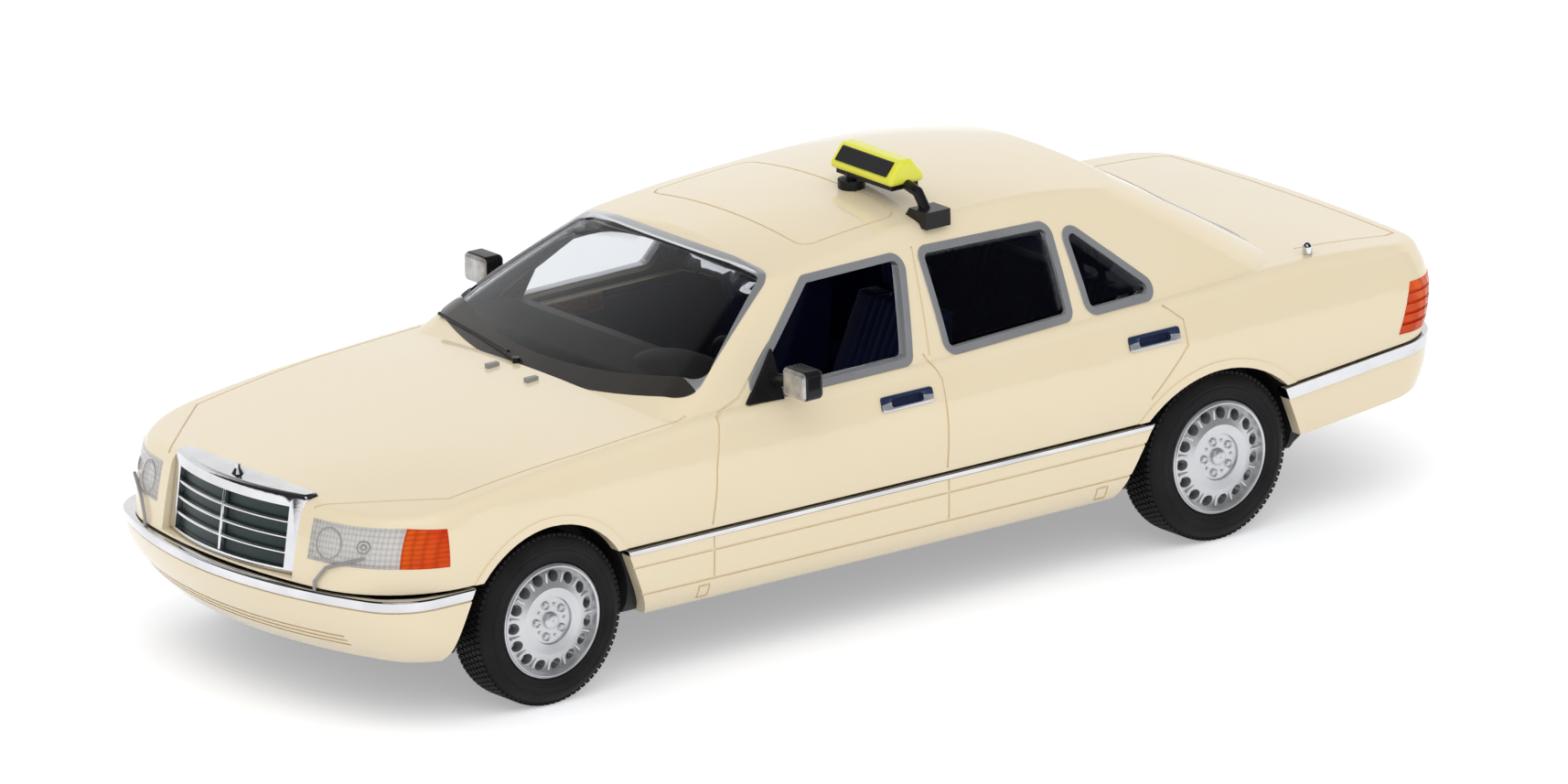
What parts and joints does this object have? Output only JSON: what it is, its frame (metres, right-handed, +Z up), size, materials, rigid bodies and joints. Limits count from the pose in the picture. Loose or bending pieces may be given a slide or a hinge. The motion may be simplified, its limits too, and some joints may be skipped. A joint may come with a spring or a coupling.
{
  "type": "scale model taxi saloon",
  "caption": "Die-cast scale model of a long-wheelbase saloon taxi with open front windows, roof sign and free-rolling wheels.",
  "frame": {"origin": "middle of the footprint, on the surface that the tyres stand on", "axes": "+X towards the front of the car, +Y to its left, +Z up"},
  "size_m": [0.12, 0.049, 0.0368],
  "materials": {
    "ivory_paint": "gloss",
    "chrome_trim": "polished",
    "silver_trim": "satin",
    "rim_silver": "satin",
    "axle_steel": "brushed",
    "tyre_rubber": "matt",
    "base_plastic": "matt",
    "trim_black": "gloss",
    "interior_blue": "satin",
    "dash_grey": "matt",
    "clear_glazing": "clear",
    "lamp_clear": "ribbed",
    "lamp_amber": "ribbed",
    "lamp_red": "ribbed",
    "grille_dark": "satin",
    "grey_plastic": "satin",
    "plate_white": "satin",
    "sign_yellow": "gloss"
  },
  "bodies": {
    "body": {"body_shell": "ivory_paint", "front_bumper": "ivory_paint", "rear_bumper": "ivory_paint", "side_sill_left": "ivory_paint", "side_sill_right": "ivory_paint", "grille_shell": "chrome_trim", "grille_slats": "chrome_trim", "bonnet_ornament": "chrome_trim", "front_bumper_strip": "chrome_trim", "rear_bumper_strip": "chrome_trim", "side_strip_left": "chrome_trim", "side_strip_right": "chrome_trim", "door_handles": "chrome_trim", "antenna_knob": "chrome_trim", "side_frames_left": "silver_trim", "side_frames_right": "silver_trim", "windscreen_frame": "silver_trim", "rear_window_frame": "silver_trim", "base_screws": "axle_steel", "exhaust_pipe": "axle_steel", "base_plate": "base_plastic", "windscreen_seal": "base_plastic", "mirror_left": "trim_black", "mirror_right": "trim_black", "windscreen_wiper": "trim_black", "sign_panels": "trim_black", "sign_bracket": "trim_black", "room_mirror": "trim_black", "interior_tub": "interior_blue", "front_seat_left": "interior_blue", "front_seat_right": "interior_blue", "rear_bench": "interior_blue", "dashboard": "dash_grey", "steering_wheel": "dash_grey", "windscreen": "clear_glazing", "rear_window": "clear_glazing", "side_glass_left": "clear_glazing", "side_glass_right": "clear_glazing", "headlamp_left": "lamp_clear", "headlamp_right": "lamp_clear", "turn_signal_left": "lamp_amber", "turn_signal_right": "lamp_amber", "tail_lamp_left": "lamp_red", "tail_lamp_right": "lamp_red", "grille_insert": "grille_dark", "headlamp_wipers": "grey_plastic", "washer_nozzles": "grey_plastic", "rear_plate": "plate_white", "taxi_sign": "sign_yellow"},
    "front_wheels": {"front_axle": "axle_steel", "rim_front_left": "rim_silver", "rim_front_right": "rim_silver", "tyre_front_left": "tyre_rubber", "tyre_front_right": "tyre_rubber"},
    "rear_wheels": {"rear_axle": "axle_steel", "rim_rear_left": "rim_silver", "rim_rear_right": "rim_silver", "tyre_rear_left": "tyre_rubber", "tyre_rear_right": "tyre_rubber"}
  },
  "joints": [
    {"name": "front_axle_spin", "type": "hinge", "parent": "body", "child": "front_wheels", "pos_m": [0.0394, 0, 0.00752], "axis": [0, 1, 0], "continuous": true},
    {"name": "rear_axle_spin", "type": "hinge", "parent": "body", "child": "rear_wheels", "pos_m": [-0.032, 0, 0.00752], "axis": [0, 1, 0], "continuous": true}
  ]
}
